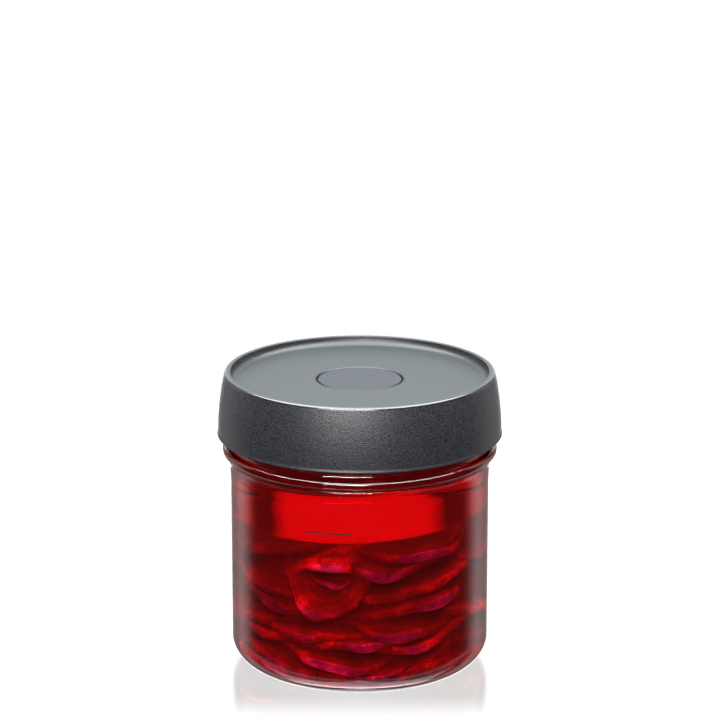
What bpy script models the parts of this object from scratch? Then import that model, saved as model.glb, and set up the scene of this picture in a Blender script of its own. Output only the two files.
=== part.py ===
"""Fermentation jar: a round glass jar with a grey valve lid, a glass weight and sliced beetroot.

Metres, +Z up. The origin is the centre of the base, and the front faces -Y.
"""
import math
import random

import bmesh
import bpy
from mathutils import Matrix, Vector

MM = 0.001
GAP = 0.3 * MM  # left between pieces that touch

# Glass jar
SIDES = 46
BODY_R = 53.0 * MM
WALL = 2.6 * MM
INNER_R = BODY_R - WALL
BASE_CORNER_R = 11.0 * MM
FLOOR_Z = 4.0 * MM
INNER_CORNER_R = 8.5 * MM
FOOT_WIDTH = 4.0 * MM
PUNT = 0.8 * MM
NECK_R = 53.4 * MM
NECK_Z = 86.6 * MM
SHOULDER_Z = 77.0 * MM
BEAD_R = 56.0 * MM
BEAD_LOW = 88.4 * MM
BEAD_TOP = 92.4 * MM
BEAD_ROUND = 1.3 * MM

# Lid
LID_SIDES = 52
LID_TOP = 122.5 * MM
LID_LOW = 96.4 * MM
RIM_R = 55.0 * MM
SKIRT_R = 57.7 * MM
LIP_R = 58.0 * MM
RIM_WIDTH = 2.3 * MM
PANEL_Z = 118.8 * MM
FILLET_R = 3.0 * MM
PLATE = 3.2 * MM
SKIRT_INNER_R = 55.4 * MM
EDGE = 0.4 * MM
RIM_EDGE = 0.8 * MM
GLASS_TOP = PANEL_Z - PLATE - GAP

# Valve button, set in a round pocket of the lid
BUTTON_SIDES = 36
POCKET_R = 17.8 * MM
POCKET_DEPTH = 1.6 * MM
BUTTON_R = 16.95 * MM
BUTTON_ROUND = 0.35 * MM

# Glass weight, which lies on the slices a little higher on the right
WEIGHT_R = 47.6 * MM
WEIGHT_THICK = 20.5 * MM
WEIGHT_LOW = 65.0 * MM
WEIGHT_ROUND = 3.5 * MM
WEIGHT_ROLL = math.radians(2.6)
WEIGHT_PITCH = math.radians(1.0)

# Beetroot slices
SLICE_SIDES = 13
SLICE_EDGE = 0.9 * MM
HEAP_CLEAR = 0.5 * MM
CORE_R = 32.0 * MM
CORE_SIDES = 14
CORE_TOP = 57.0 * MM
DRAW = 11

# Each slice that shows at the front: degrees to the right of the front, height, radius and
# thickness in mm, how far its outer edge tips down and its right side lifts in degrees, and
# how deep it is dished and how far its two sides are folded down in mm
FRONT_SLICES = (
    (32, 60.0, 27.0, 4.6, 5, 5, 0.0, 0.0),
    (20, 59.5, 26.5, 5.2, 18, 4, 2.0, 0.0),
    (38, 47.5, 27.0, 4.8, 8, 9, 0.0, 0.0),
    (30, 40.5, 26.0, 4.8, 12, 11, 0.0, 2.0),
    (24, 32.5, 25.5, 5.2, 15, 4, -1.5, 0.0),
    (36, 23.5, 26.0, 4.6, 6, 8, 0.0, -2.0),
    (-20, 63.0, 20.5, 4.2, 30, 9, 0.0, 13.0),
    (-14, 47.3, 9.5, 2.2, 6, 0, 0.0, -3.5),
    (-17, 46.5, 15.8, 4.4, 54, 2, -2.0, 0.0),
    (-24, 31.0, 24.0, 4.6, 20, -6, 2.0, 3.0),
    (-4, 25.5, 21.0, 4.4, 16, 3, 1.0, 2.0),
    (-12, 17.5, 25.0, 4.8, 14, -4, 1.5, 0.0),
    (15, 14.5, 25.0, 4.6, 12, 7, 0.0, 2.0),
    (13, 8.5, 26.0, 4.6, 2, 2, 0.0, 0.0),
    (-46, 17.0, 26.0, 4.6, 16, -9, 0.0, 3.0),
    (-54, 8.0, 25.5, 4.4, 0, -3, 0.0, 0.0),
    (-56, 60.0, 26.0, 4.6, 9, 6, 0.0, 0.0),
    (-60, 50.0, 26.5, 4.8, 20, -12, 0.0, 3.0),
    (-50, 41.0, 26.0, 4.6, 12, -8, 0.0, 0.0),
    (-62, 32.5, 26.0, 4.8, 14, 6, 0.0, 2.0),
    (-48, 25.0, 25.5, 4.6, 8, -6, 0.0, 0.0),
)
BACK_ANGLES = (86, 138, 190, 242)
BACK_LOW = 10.5
BACK_STEP = 11.0
BACK_LAYERS = 5


def clear_scene():
    for ob in list(bpy.data.objects):
        bpy.data.objects.remove(ob, do_unlink=True)


def collection(name):
    col = bpy.data.collections.new(name)
    bpy.context.scene.collection.children.link(col)
    return col


def material(name, colour, roughness, metallic=0.0, transmission=0.0, ior=1.45):
    mat = bpy.data.materials.new(name)
    mat.use_nodes = True
    shader = mat.node_tree.nodes["Principled BSDF"]
    shader.inputs["Base Color"].default_value = (*colour, 1.0)
    shader.inputs["Roughness"].default_value = roughness
    shader.inputs["Metallic"].default_value = metallic
    shader.inputs["Transmission Weight"].default_value = transmission
    shader.inputs["IOR"].default_value = ior
    return mat


def arc(centre_r, centre_z, radius, start, end, steps):
    """Points of a round stretch of a profile, from one angle to another in degrees."""
    points = []
    for i in range(steps + 1):
        a = math.radians(start + (end - start) * i / steps)
        points.append((centre_r + radius * math.cos(a), centre_z + radius * math.sin(a)))
    return points


def turned(name, profile, sides, mat, home):
    """A solid turned from a profile of (radius, height) points about the Z axis."""
    mesh = bpy.data.meshes.new(name)
    edges = [(i, i + 1) for i in range(len(profile) - 1)]
    mesh.from_pydata([(r, 0.0, z) for r, z in profile], edges, [])
    ob = bpy.data.objects.new(name, mesh)
    home.objects.link(ob)
    screw = ob.modifiers.new("Turn", "SCREW")
    screw.axis = "Z"
    screw.angle = math.tau
    screw.steps = sides
    screw.render_steps = sides
    screw.use_merge_vertices = True
    screw.merge_threshold = 0.01 * MM
    screw.use_smooth_shade = True
    mesh.materials.append(mat)
    return ob


def evaluated_mesh(ob):
    graph = bpy.context.evaluated_depsgraph_get()
    return bpy.data.meshes.new_from_object(ob.evaluated_get(graph))


def glass_jar(home):
    floor_edge = INNER_R - INNER_CORNER_R
    foot = BODY_R - BASE_CORNER_R
    lip = WALL / 2
    profile = [(0.0, FLOOR_Z)]
    profile += arc(floor_edge, FLOOR_Z + INNER_CORNER_R, INNER_CORNER_R, -90, 0, 5)
    profile += arc(INNER_R + lip, GLASS_TOP - lip, lip, 180, 0, 5)
    profile += [(BODY_R, BEAD_TOP + EDGE)]
    profile += arc(BEAD_R - BEAD_ROUND, BEAD_TOP - BEAD_ROUND, BEAD_ROUND, 90, 0, 3)
    profile += arc(BEAD_R - BEAD_ROUND, BEAD_LOW + BEAD_ROUND, BEAD_ROUND, 0, -90, 3)
    profile += [(NECK_R + EDGE, BEAD_LOW - EDGE), (NECK_R, NECK_Z), (BODY_R, SHOULDER_Z)]
    profile += arc(foot, BASE_CORNER_R, BASE_CORNER_R, 0, -90, 8)
    inner_foot = foot - FOOT_WIDTH
    profile += [(inner_foot, 0.0), (inner_foot - PUNT, PUNT / 2), (inner_foot / 2, PUNT), (0.0, PUNT)]
    clear = material("Clear soda-lime glass", (0.93, 0.96, 0.95), 0.02, transmission=1.0, ior=1.5)
    return turned("glass_jar", profile, SIDES, clear, home)


def skirt_point(share):
    """A point down the lid's skirt, which bellies out most near the top."""
    top = LID_TOP - RIM_EDGE
    low = LID_LOW + 2 * EDGE
    radius = RIM_R + (SKIRT_R - RIM_R) * (1 - (1 - share) ** 2)
    return radius, top + (low - top) * share


def lid(home, grey):
    floor_z = PANEL_Z - POCKET_DEPTH
    rim_inner = RIM_R - EDGE / 2 - RIM_WIDTH
    profile = [(0.0, floor_z), (POCKET_R, floor_z), (POCKET_R, PANEL_Z)]
    profile += arc(rim_inner - FILLET_R, PANEL_Z + FILLET_R, FILLET_R, -90, 0, 4)
    profile += [(rim_inner + EDGE / 2, LID_TOP), (RIM_R - RIM_EDGE, LID_TOP)]
    profile += [skirt_point(i / 7) for i in range(8)]
    profile += [(LIP_R, LID_LOW + EDGE), (LIP_R - EDGE, LID_LOW), (SKIRT_INNER_R, LID_LOW)]
    profile += [(SKIRT_INNER_R, PANEL_Z - PLATE), (0.0, PANEL_Z - PLATE)]
    return turned("lid", profile, LID_SIDES, grey, home)


def valve_button(home, grey):
    low = PANEL_Z - POCKET_DEPTH + GAP
    profile = [(0.0, PANEL_Z)]
    profile += arc(BUTTON_R - BUTTON_ROUND, PANEL_Z - BUTTON_ROUND, BUTTON_ROUND, 90, 0, 3)
    profile += [(BUTTON_R, low), (0.0, low)]
    return turned("valve_button", profile, BUTTON_SIDES, grey, home)


def weight_place():
    """Where the weight lies: its own base disc, tilted up to the right and the back."""
    tilt = Matrix.Rotation(-WEIGHT_ROLL, 4, "Y") @ Matrix.Rotation(WEIGHT_PITCH, 4, "X")
    return Matrix.Translation((0.0, 0.0, WEIGHT_LOW)) @ tilt


def glass_weight(home):
    inner = WEIGHT_R - WEIGHT_ROUND
    profile = [(0.0, WEIGHT_THICK)]
    profile += arc(inner, WEIGHT_THICK - WEIGHT_ROUND, WEIGHT_ROUND, 90, 0, 3)
    profile += arc(inner, WEIGHT_ROUND, WEIGHT_ROUND, 0, -90, 3)
    profile += [(0.0, 0.0)]
    clear = material("Clear pressed glass", (0.95, 0.97, 0.97), 0.03, transmission=1.0, ior=1.5)
    ob = turned("glass_weight", profile, SIDES, clear, home)
    ob.matrix_world = weight_place()
    return ob


def room_radius(z):
    """How far from the axis the slices may reach at a height, inside the glass."""
    low = FLOOR_Z + INNER_CORNER_R - z
    if low <= 0:
        return INNER_R - HEAP_CLEAR
    low = min(low, INNER_CORNER_R - HEAP_CLEAR)
    return INNER_R - INNER_CORNER_R + math.sqrt(INNER_CORNER_R**2 - low**2) - HEAP_CLEAR


def room_top(x, y):
    """How high the slices may reach under the weight."""
    rise = x * math.tan(WEIGHT_ROLL) + y * math.tan(WEIGHT_PITCH)
    return WEIGHT_LOW + rise - HEAP_CLEAR


def press_in(point, under, over):
    """Moves a slice's point into the room that the glass and the weight leave it.

    Under and over are how much of the slice's thickness lies below and above the point, so a
    slice that is pressed flat keeps its thickness.
    """
    x, y, z = point
    z = min(max(z, FLOOR_Z + HEAP_CLEAR + under), room_top(x, y) - over)
    far = math.hypot(x, y)
    limit = room_radius(z)
    if far > limit:
        x *= limit / far
        y *= limit / far
    return Vector((x, y, z))


def all_slices():
    """Every slice as (angle, height, radius, thickness, tip, lift, dish, fold)."""
    rows = list(FRONT_SLICES)
    draw = random.Random(DRAW)
    for layer in range(BACK_LAYERS):
        for angle in BACK_ANGLES:
            rows.append((
                angle + draw.uniform(-12, 12) + 24 * (layer % 2),
                BACK_LOW + BACK_STEP * layer + draw.uniform(-1.5, 1.5),
                draw.uniform(24.0, 28.0),
                draw.uniform(4.2, 5.4),
                draw.uniform(2, 24),
                draw.uniform(-10, 10),
                draw.uniform(-2.0, 2.0),
                draw.uniform(-3.0, 3.0),
            ))
    return rows


def slice_place(angle, height, radius, tip, lift):
    """Turns a slice about the jar's axis, out to the glass, and tips and lifts it."""
    out = INNER_R - HEAP_CLEAR - radius * math.cos(math.radians(tip))
    turn = Matrix.Rotation(math.radians(angle), 4, "Z")
    lean = Matrix.Rotation(math.radians(tip), 4, "X") @ Matrix.Rotation(-math.radians(lift), 4, "Y")
    return turn @ Matrix.Translation((0.0, -out, height)) @ lean


def beet_slice(number, row, mat, home):
    angle, height, radius, thick, tip, lift, dish, fold = row
    radius, thick = radius * MM, thick * MM
    half = thick / 2
    profile = [(0.0, half)]
    if dish or fold:
        profile.append((0.6 * radius, half))
    profile += [(radius - SLICE_EDGE, half), (radius, 0.0), (radius - SLICE_EDGE, -half)]
    if dish or fold:
        profile.append((0.6 * radius, -half))
    profile.append((0.0, -half))
    rough = turned("slice", profile, SLICE_SIDES, mat, home)
    mesh = evaluated_mesh(rough)
    bpy.data.objects.remove(rough, do_unlink=True)
    place = slice_place(angle, height * MM, radius, tip, lift)
    wave = number * 1.7
    for v in mesh.vertices:
        x, y, z = v.co
        under, over = half + z, half - z
        share = math.hypot(x, y) / radius
        around = math.atan2(y, x)
        grow = 1 + share * (0.07 * math.sin(3 * around + wave) + 0.03 * math.sin(5 * around - wave))
        z += dish * MM * (share**2 - 0.4) - fold * MM * (x / radius) ** 2
        z += 1.3 * MM * share * math.sin(2 * around + wave)
        v.co = press_in(place @ Vector((x * grow, y * grow, z)), under, over)
    ob = bpy.data.objects.new(f"slice_{number:02d}", mesh)
    home.objects.link(ob)
    return ob


def beet_slices(home, cutters):
    """The heap: a plain core with every slice fused on."""
    beet = material("Beetroot", (0.33, 0.006, 0.02), 0.3)
    for number, row in enumerate(all_slices()):
        beet_slice(number, row, beet, cutters)
    low = FLOOR_Z + HEAP_CLEAR
    profile = [(0.0, CORE_TOP), (CORE_R * 0.8, CORE_TOP - 2 * MM), (CORE_R, CORE_TOP - 8 * MM)]
    profile += [(CORE_R, low + 4 * MM), (CORE_R - 4 * MM, low), (0.0, low)]
    heap = turned("beet_slices", profile, CORE_SIDES, beet, home)
    join = heap.modifiers.new("Fuse slices", "BOOLEAN")
    join.operation = "UNION"
    join.solver = "MANIFOLD"
    join.operand_type = "COLLECTION"
    join.collection = cutters
    fused = evaluated_mesh(heap)
    heap.modifiers.clear()
    heap.data = fused
    fused.name = "beet_slices"
    for ob in list(cutters.objects):
        bpy.data.objects.remove(ob, do_unlink=True)
    keep_largest_body(fused)
    return heap


def keep_largest_body(mesh):
    """Drops loose scraps and the walls of sealed hollows that fusing can leave."""
    bm = bmesh.new()
    bm.from_mesh(mesh)
    left = set(bm.verts)
    bodies = []
    while left:
        body = set()
        front = [left.pop()]
        while front:
            v = front.pop()
            body.add(v)
            for e in v.link_edges:
                w = e.other_vert(v)
                if w in left:
                    left.remove(w)
                    front.append(w)
        bodies.append(body)
    bodies.sort(key=len)
    for body in bodies[:-1]:
        bmesh.ops.delete(bm, geom=list(body), context="VERTS")
    bm.to_mesh(mesh)
    bm.free()


def main():
    clear_scene()
    home = collection("Fermentation jar")
    cutters = collection("Cutters")
    lid_grey = material("Grey polypropylene", (0.13, 0.135, 0.14), 0.55)
    button_grey = material("Grey silicone", (0.24, 0.25, 0.26), 0.6)
    glass_jar(home)
    lid(home, lid_grey)
    valve_button(home, button_grey)
    glass_weight(home)
    beet_slices(home, cutters)
    bpy.data.collections.remove(cutters)


main()
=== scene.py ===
# %% [markdown]
# # A fermentation jar, from glass to brine
#
# The real object is a round glass jar of sliced beetroot. A grey plastic lid with a soft
# valve button shuts it, and a thick glass weight inside keeps the slices under the brine.
#
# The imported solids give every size. This script keeps their places and forms and makes the
# surfaces: smooth glass, the brine's colour, wet slices and grained plastic.

import math
import random

import bmesh
import bpy
import numpy as np
from mathutils import Matrix, Vector


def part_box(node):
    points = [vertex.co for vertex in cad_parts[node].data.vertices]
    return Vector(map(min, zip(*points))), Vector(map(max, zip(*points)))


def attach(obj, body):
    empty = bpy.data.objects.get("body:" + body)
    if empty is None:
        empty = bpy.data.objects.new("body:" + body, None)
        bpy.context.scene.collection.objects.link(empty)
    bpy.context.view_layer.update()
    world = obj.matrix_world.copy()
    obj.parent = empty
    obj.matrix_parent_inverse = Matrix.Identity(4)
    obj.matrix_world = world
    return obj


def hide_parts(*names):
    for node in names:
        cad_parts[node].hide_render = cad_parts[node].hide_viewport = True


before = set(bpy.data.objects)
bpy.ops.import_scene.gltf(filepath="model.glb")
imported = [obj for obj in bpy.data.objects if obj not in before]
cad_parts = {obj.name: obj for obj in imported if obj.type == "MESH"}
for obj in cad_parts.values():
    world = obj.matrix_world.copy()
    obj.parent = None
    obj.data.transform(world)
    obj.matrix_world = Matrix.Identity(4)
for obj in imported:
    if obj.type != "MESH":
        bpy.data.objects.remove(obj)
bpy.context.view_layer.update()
print("packed solids:", sorted(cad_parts))

# %% [markdown]
# ## Units, colours and one helper for shader and geometry nodes
#
# Blender counts in metres, and a maker thinks in millimetres, so sizes are written as a
# number times MM. Colours are written as they look on a screen, in hex, and one function
# turns them into the linear light that shaders mix.

# %% Small helpers
MM = 0.001


def linear(hex_colour):
    """An sRGB hex colour as the linear RGBA that Blender's sockets hold."""
    values = []
    for i in (0, 2, 4):
        c = int(hex_colour[i + 1:i + 3], 16) / 255
        values.append(c / 12.92 if c <= 0.04045 else ((c + 0.055) / 1.055) ** 2.4)
    return (*values, 1.0)


def add(tree, kind, links=(), **values):
    """Adds a node. Values set its properties or inputs by name, links join (output, input)."""
    node = tree.nodes.new(kind)
    for name, value in values.items():
        if hasattr(node, name):
            setattr(node, name, value)
        else:
            node.inputs[name.replace("_", " ")].default_value = value
    for source, target in links:
        tree.links.new(source, node.inputs[target])
    return node


def new_material(name):
    """An empty material with its output node."""
    mat = bpy.data.materials.new(name)
    mat.use_nodes = True
    mat.node_tree.nodes.clear()
    return mat, mat.node_tree, add(mat.node_tree, "ShaderNodeOutputMaterial")


def link_object(name, mesh):
    """Puts a mesh in the scene as an object at the origin."""
    ob = bpy.data.objects.new(name, mesh)
    bpy.context.scene.collection.objects.link(ob)
    return ob


def set_inputs(modifier, tree, **values):
    """Sets a Geometry Nodes modifier's inputs by their sockets' identifiers."""
    ids = {s.name: s.identifier for s in tree.interface.items_tree if s.in_out == "INPUT"}
    for name, value in values.items():
        modifier[ids[name.replace("_", " ")]] = value


def baked(ob):
    """Replaces an object by the plain mesh that its modifiers make."""
    graph = bpy.context.evaluated_depsgraph_get()
    mesh = bpy.data.meshes.new_from_object(ob.evaluated_get(graph))
    mesh.name = ob.name
    ob.modifiers.clear()
    ob.data = mesh
    return ob


print("middle grey on a screen is", round(linear("#808080")[0], 3), "in linear light")

# %% [markdown]
# ## The camera
#
# The photograph was taken with a long lens from a little above the jar, so the lid shows as
# a narrow ellipse and the sides hardly converge. A distance of 1.23 m and a height of
# 0.47 m give the ellipses at the lid and at the base at once, and the lens then follows
# from the jar's width in the frame. Depth of field stays off.

# %% Camera
CAMERA_DISTANCE = 1231.6 * MM
CAMERA_HEIGHT = 467.8 * MM
CAMERA_PITCH = 0.2702  # radians below level
LENS = 157.7  # mm, as is the sensor
SENSOR = 36.0

camera_data = bpy.data.cameras.new("Camera")
camera_data.lens = LENS
camera_data.sensor_width = SENSOR
camera_data.clip_start = 0.05
camera = bpy.data.objects.new("Camera", camera_data)
camera.location = (0.1 * MM, -CAMERA_DISTANCE, CAMERA_HEIGHT)
camera.rotation_euler = (math.pi / 2 - CAMERA_PITCH, 0.0, 0.0)
bpy.context.scene.collection.objects.link(camera)
bpy.context.scene.camera = camera
print("view is", round(math.degrees(2 * math.atan(SENSOR / 2 / LENS)), 1), "degrees wide")

# %% [markdown]
# ## The studio
#
# Glass has no colour of its own, so it shows the room. White surroundings behind the jar
# light the brine from behind, and a dim room in front keeps the glass's face clear. Soft
# boxes could stand all round, but each would show in the glass as a box. Here the world
# itself is the room: its brightness follows the direction, so each stretch of wall is set
# by what it does to the jar. The stretch right behind fills the glass weight, the dark one
# beside it draws the dark sides of the red band, and the grey one further round draws the
# soft lights down both sides of the glass.
#
# Colours are shown without a film-like curve, so that the red of the brine stays as it is.
# Light crosses many faces of glass and brine, so rays may bounce often.

# %% How bright the room is
BOUNCES = 28

scene = bpy.context.scene
scene.view_settings.view_transform = "Standard"
scene.cycles.max_bounces = BOUNCES
scene.cycles.transmission_bounces = BOUNCES
scene.cycles.transparent_max_bounces = BOUNCES

# How far behind the jar a direction points (1 is straight behind, 0 is level with the jar and
# in front of it) and the brightness there, for directions above the horizon and below it
WALLS_ABOVE = ((0.0, 0.02), (0.18, 0.04), (0.3, 0.68), (0.6, 0.64), (0.72, 0.1),
               (0.84, 0.1), (0.91, 1.35), (1.0, 1.35))
WALLS_BELOW = ((0.0, 0.02), (0.28, 0.03), (0.38, 0.1), (0.5, 0.42), (0.6, 0.7), (0.7, 0.7),
               (0.82, 0.4), (0.94, 0.32), (1.0, 0.34))
HORIZON_BLUR = 0.04

# Heights are the sine of the angle above the horizon
CEILING_LIGHT = 7.0
CEILING_FROM, CEILING_FULL = 0.84, 0.94
RING_LIGHT = 14.0  # a ring of lamps overhead, all round but straight behind
RING_LOW, RING_HIGH = 0.62, 0.94
RING_BLUR = 0.02
RING_FULL, RING_NONE = 0.6, 0.75  # how far behind the jar the ring ends
RING_THROUGH_GLASS = 0.1  # share of the ring that light bent by glass sees
FRONT_THROUGH_GLASS = 0.44  # light from in front that reaches the slices
FRONT_FULL, FRONT_NONE = 0.1, 0.2
FOOT_LIGHT = 2.0  # the lit floor behind the jar, as the round of its foot mirrors it
FOOT_NONE, FOOT_FULL = 0.94, 0.975
print("room has", len(WALLS_ABOVE), "stops above and", len(WALLS_BELOW), "below the horizon")


def ring_of_walls(tree, behind, stops, name):
    """Brightness of the walls round the jar, from stops of (share behind, brightness)."""
    ramp = add(tree, "ShaderNodeValToRGB", [(behind, 0)], label=name)
    elements = ramp.color_ramp.elements
    for i, (share, value) in enumerate(stops):
        stop = elements[i] if i < 2 else elements.new(share)
        stop.position = share
        stop.color = (value, value, value, 1.0)
    return ramp.outputs[0]


# %% [markdown]
# The world's nodes first work out where a direction points: how high, and how far behind the
# jar. A picture of a room could give the brightness too, but it couldn't be tuned stretch by
# stretch.

# %% The room's directions
world = bpy.data.worlds.new("Studio room")
scene.world = world
world.use_nodes = True
room = world.node_tree
room.nodes.clear()

way = add(room, "ShaderNodeTexCoord")
axes = add(room, "ShaderNodeSeparateXYZ", [(way.outputs["Generated"], "Vector")])
level = add(room, "ShaderNodeCombineXYZ", [(axes.outputs["X"], "X"), (axes.outputs["Y"], "Y")])
flat = add(room, "ShaderNodeVectorMath", [(level.outputs[0], 0)], operation="NORMALIZE")
height = axes.outputs["Z"]
behind = add(room, "ShaderNodeSeparateXYZ", [(flat.outputs[0], "Vector")]).outputs["Y"]
up = add(room, "ShaderNodeMapRange", [(height, "Value")],
         From_Min=-HORIZON_BLUR, From_Max=HORIZON_BLUR)
down = add(room, "ShaderNodeMapRange", [(up.outputs[0], "Value")], To_Min=1.0, To_Max=0.0)
ray = add(room, "ShaderNodeLightPath")
print("directions take", len(room.nodes), "nodes")

# %% [markdown]
# The walls, the ceiling and the ring of lamps follow from those two numbers. The ring is what
# draws the long thin lights along the bead, because a round edge mirrors one narrow range of
# heights. Seen through the curved glass it would break up into bright scribbles, so bent
# light sees little of it.

# %% The walls, ceiling and ring of lamps
walls_above = ring_of_walls(room, behind, WALLS_ABOVE, "Walls above the floor")
walls_below = ring_of_walls(room, behind, WALLS_BELOW, "Floor round the jar")
walls = add(room, "ShaderNodeMix", [
    (up.outputs[0], 0), (walls_below, 6), (walls_above, 7)], data_type="RGBA")
high = add(room, "ShaderNodeMapRange", [(height, "Value")],
           interpolation_type="SMOOTHSTEP", From_Min=CEILING_FROM, From_Max=CEILING_FULL)
topped = add(room, "ShaderNodeMix", [
    (high.outputs[0], 0), (walls.outputs[2], 6)], data_type="RGBA")
topped.inputs[7].default_value = (CEILING_LIGHT, CEILING_LIGHT, CEILING_LIGHT, 1.0)

ring_in = add(room, "ShaderNodeMapRange", [(height, "Value")],
              From_Min=RING_LOW - RING_BLUR, From_Max=RING_LOW)
ring_out = add(room, "ShaderNodeMapRange", [(height, "Value")],
               From_Min=RING_HIGH, From_Max=RING_HIGH + RING_BLUR, To_Min=1.0, To_Max=0.0)
ring_side = add(room, "ShaderNodeMapRange", [(behind, "Value")],
                From_Min=RING_FULL, From_Max=RING_NONE, To_Min=RING_LIGHT, To_Max=0.0)
ring_band = add(room, "ShaderNodeMath", [(ring_in.outputs[0], 0), (ring_out.outputs[0], 1)],
                operation="MULTIPLY")
ring_front = add(room, "ShaderNodeMath", [(ring_band.outputs[0], 0), (ring_side.outputs[0], 1)],
                 operation="MULTIPLY")
ring_share = add(room, "ShaderNodeMapRange", [(ray.outputs["Is Transmission Ray"], "Value")],
                 To_Min=1.0, To_Max=RING_THROUGH_GLASS)
ring_light = add(room, "ShaderNodeMath", [(ring_front.outputs[0], 0), (ring_share.outputs[0], 1)],
                 operation="MULTIPLY")
lit = add(room, "ShaderNodeMath", [(topped.outputs[2], 0), (ring_light.outputs[0], 1)],
          operation="MAXIMUM")
print("with the lights,", len(room.nodes), "nodes")

# %% [markdown]
# Last comes what kind of ray asks. The round of the jar's foot mirrors the lit floor behind
# it, light on its way to the slices finds a soft light in front, and the camera sees white.

# %% What each kind of ray sees
floor_behind = add(room, "ShaderNodeMapRange", [(behind, "Value")],
                   From_Min=FOOT_NONE, From_Max=FOOT_FULL, To_Min=0.0, To_Max=FOOT_LIGHT)
mirrored_down = add(room, "ShaderNodeMath", [
    (down.outputs[0], 0), (ray.outputs["Is Glossy Ray"], 1)], operation="MULTIPLY")
foot_light = add(room, "ShaderNodeMath", [
    (floor_behind.outputs[0], 0), (mirrored_down.outputs[0], 1)], operation="MULTIPLY")
bright = add(room, "ShaderNodeMath", [(lit.outputs[0], 0), (foot_light.outputs[0], 1)],
             operation="MAXIMUM")

front = add(room, "ShaderNodeMapRange", [(behind, "Value")],
            From_Min=FRONT_FULL, From_Max=FRONT_NONE, To_Min=FRONT_THROUGH_GLASS, To_Max=0.0)
bent_up = add(room, "ShaderNodeMath", [
    (ray.outputs["Is Transmission Ray"], 0), (up.outputs[0], 1)], operation="MULTIPLY")
inside = add(room, "ShaderNodeMath", [
    (bent_up.outputs[0], 0), (ray.outputs["Is Diffuse Ray"], 1)], operation="MAXIMUM")
through = add(room, "ShaderNodeMath", [(front.outputs[0], 0), (inside.outputs[0], 1)],
              operation="MULTIPLY")
filled = add(room, "ShaderNodeMath", [(bright.outputs[0], 0), (through.outputs[0], 1)],
             operation="MAXIMUM")
seen = add(room, "ShaderNodeMath", [(ray.outputs["Is Camera Ray"], 0), (filled.outputs[0], 1)],
           operation="MAXIMUM")
sky = add(room, "ShaderNodeBackground", [(seen.outputs[0], "Strength")], Color=(1, 1, 1, 1))
add(room, "ShaderNodeOutputWorld", [(sky.outputs[0], "Surface")])
print("world has", len(room.nodes), "nodes")

# %% [markdown]
# ## The floor and the lamp
#
# The jar stands on a sheet of white acrylic that is lit from below, so it casts no shadow
# and the sheet stays white. A glossy sheet would mirror the whole room, so the gloss is kept
# to a patch under the jar and fades out around it: that is how far the mirror image of the
# jar reaches. Where the sheet is glossy it glows less, because the mirrored room adds light.
#
# One wide soft box in front draws the light patch on the lid's skirt.

# %% Floor and lamp
FLOOR_X = 1400 * MM
FLOOR_FRONT = -140 * MM
FLOOR_BACK = 400 * MM
MIRROR_FULL, MIRROR_NONE = 44 * MM, 80 * MM
MIRROR_WIDER = 12 * MM  # the glossy patch is this much wider than deep, on each side
GLOW_PLAIN, GLOW_GLOSSY = 1.05, 0.62


def acrylic_sheet():
    """Polished white acrylic, lit from below, glossy only under the jar."""
    mat, tree, out = new_material("White acrylic sheet, lit from below")
    place = add(tree, "ShaderNodeTexCoord")
    sides = add(tree, "ShaderNodeVectorMath", [(place.outputs["Object"], 0)], operation="ABSOLUTE")
    split = add(tree, "ShaderNodeSeparateXYZ", [(sides.outputs[0], "Vector")])
    aside = add(tree, "ShaderNodeMath", [(split.outputs["X"], 0)], operation="SUBTRACT")
    aside.inputs[1].default_value = MIRROR_WIDER
    away = add(tree, "ShaderNodeMath", [(aside.outputs[0], 0), (split.outputs["Y"], 1)],
               operation="MAXIMUM")
    gloss = add(tree, "ShaderNodeMapRange", [(away.outputs[0], "Value")],
                interpolation_type="SMOOTHSTEP", From_Min=MIRROR_FULL, From_Max=MIRROR_NONE,
                To_Min=1.0, To_Max=0.0)
    glow = add(tree, "ShaderNodeMapRange", [(gloss.outputs[0], "Value")],
               To_Min=GLOW_PLAIN, To_Max=GLOW_GLOSSY)
    shader = add(tree, "ShaderNodeBsdfPrincipled", [
        (gloss.outputs[0], "Specular IOR Level"), (glow.outputs[0], "Emission Strength")],
        Base_Color=linear("#1c1c1c"), Emission_Color=(1, 1, 1, 1), Roughness=0.06, IOR=1.9)
    tree.links.new(shader.outputs[0], out.inputs["Surface"])
    return mat


def floor_plane():
    """A large flat floor under the jar, which the jar's own glass doesn't show."""
    mesh = bpy.data.meshes.new("floor")
    corners = [(-FLOOR_X, FLOOR_FRONT, 0), (FLOOR_X, FLOOR_FRONT, 0),
               (FLOOR_X, FLOOR_BACK, 0), (-FLOOR_X, FLOOR_BACK, 0)]
    mesh.from_pydata(corners, [], [(0, 1, 2, 3)])
    mesh.materials.append(acrylic_sheet())
    floor = link_object("floor", mesh)
    floor.visible_glossy = False
    floor.visible_transmission = False


def soft_box(name, place, target, size, watts):
    """A rectangular lamp that faces a target."""
    data = bpy.data.lights.new(name, "AREA")
    data.shape = "RECTANGLE"
    data.size, data.size_y = size
    data.energy = watts
    ob = bpy.data.objects.new(name, data)
    ob.location = place
    aim = Vector(target) - Vector(place)
    ob.rotation_euler = aim.to_track_quat("-Z", "Y").to_euler()
    scene.collection.objects.link(ob)


floor_plane()
soft_box("Front soft box", (-0.26, -1.4, 0.6), (0, 0, 0.08), (1.1, 0.16), 32)

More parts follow.
